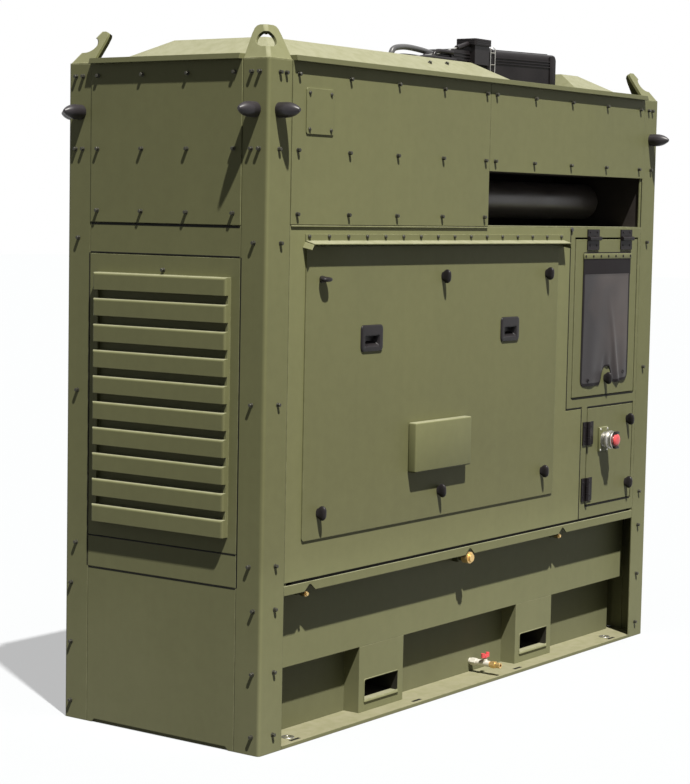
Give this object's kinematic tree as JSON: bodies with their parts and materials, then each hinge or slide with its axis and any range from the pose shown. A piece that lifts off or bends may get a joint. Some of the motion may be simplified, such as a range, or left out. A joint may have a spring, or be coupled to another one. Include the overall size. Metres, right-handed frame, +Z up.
{
  "type": "diesel generator set",
  "caption": "Enclosed diesel generator set: folded sheet housing on a tank base with fork pockets, louvred ends, side hatches, control and connection doors and lifting lugs.",
  "frame": {"origin": "middle of the footprint, on the ground", "axes": "+X along the length, -Y out of the front with the doors, +Z up"},
  "size_m": [2.336, 0.856, 2.039],
  "materials": {
    "olive_paint": "satin",
    "black_plastic": "matte",
    "black_hinge": "satin",
    "black_rubber": "matte",
    "black_vinyl": "satin",
    "black_paint": "matte",
    "steel": "satin",
    "red_plastic": "satin",
    "brass": "satin"
  },
  "bodies": {
    "housing": {"post_front_left": "olive_paint", "post_front_right": "olive_paint", "post_rear_left": "olive_paint", "post_rear_right": "olive_paint", "lifting_lugs": "olive_paint", "base_plate": "olive_paint", "fuel_tank": "olive_paint", "base_beam_front": "olive_paint", "base_beam_rear": "olive_paint", "fork_pocket_left": "olive_paint", "fork_pocket_right": "olive_paint", "drain_valve": "steel", "drain_spout": "brass", "bleed_nipples": "brass", "left_upper_panel": "olive_paint", "left_louvre_panel": "olive_paint", "left_bands": "olive_paint", "left_lower_panel": "olive_paint", "right_upper_panel": "olive_paint", "right_louvre_panel": "olive_paint", "right_bands": "olive_paint", "right_lower_panel": "olive_paint", "front_upper_left_panel": "olive_paint", "front_upper_right_panel": "olive_paint", "access_plate": "olive_paint", "hatch_frame": "olive_paint", "front_hatch": "olive_paint", "hatch_box": "olive_paint", "front_drip_rail": "olive_paint", "hatch_latches": "black_plastic", "hatch_handles": "black_plastic", "side_column": "olive_paint", "control_box": "olive_paint", "control_hinges": "black_hinge", "connection_box": "olive_paint", "connection_hinges": "black_hinge", "air_floor": "olive_paint", "air_duct": "black_paint", "air_ceiling": "black_paint", "silencer": "black_paint", "rear_upper_panel": "olive_paint", "rear_frame": "olive_paint", "rear_hatch": "olive_paint", "rear_drip_rail": "olive_paint", "roof_lid": "olive_paint", "roof_left": "olive_paint", "roof_right": "olive_paint", "air_cleaner": "black_plastic", "air_intake": "black_plastic", "intake_hose": "black_rubber", "bumpers": "black_rubber"},
    "control_door": {"control_door": "olive_paint", "control_flap": "black_vinyl", "control_latch": "black_plastic"},
    "connection_door": {"connection_door": "olive_paint", "connection_latches": "black_plastic", "stop_housing": "steel", "stop_button": "red_plastic"},
    "drain_lever": {"drain_lever": "red_plastic"}
  },
  "joints": [
    {"name": "control_door_hinge", "type": "hinge", "parent": "housing", "child": "control_door", "pos_m": [0.764, -0.3675, 1.402], "axis": [-1, 0, 0], "range_deg": [0, 100]},
    {"name": "connection_door_hinge", "type": "hinge", "parent": "housing", "child": "connection_door", "pos_m": [0.66, -0.3675, 0.669], "axis": [0, 0, -1], "range_deg": [0, 110]},
    {"name": "drain_lever_turn", "type": "hinge", "parent": "housing", "child": "drain_lever", "pos_m": [0.137, -0.306, 0.059], "axis": [0, 0, -1], "range_deg": [0, 90]}
  ]
}
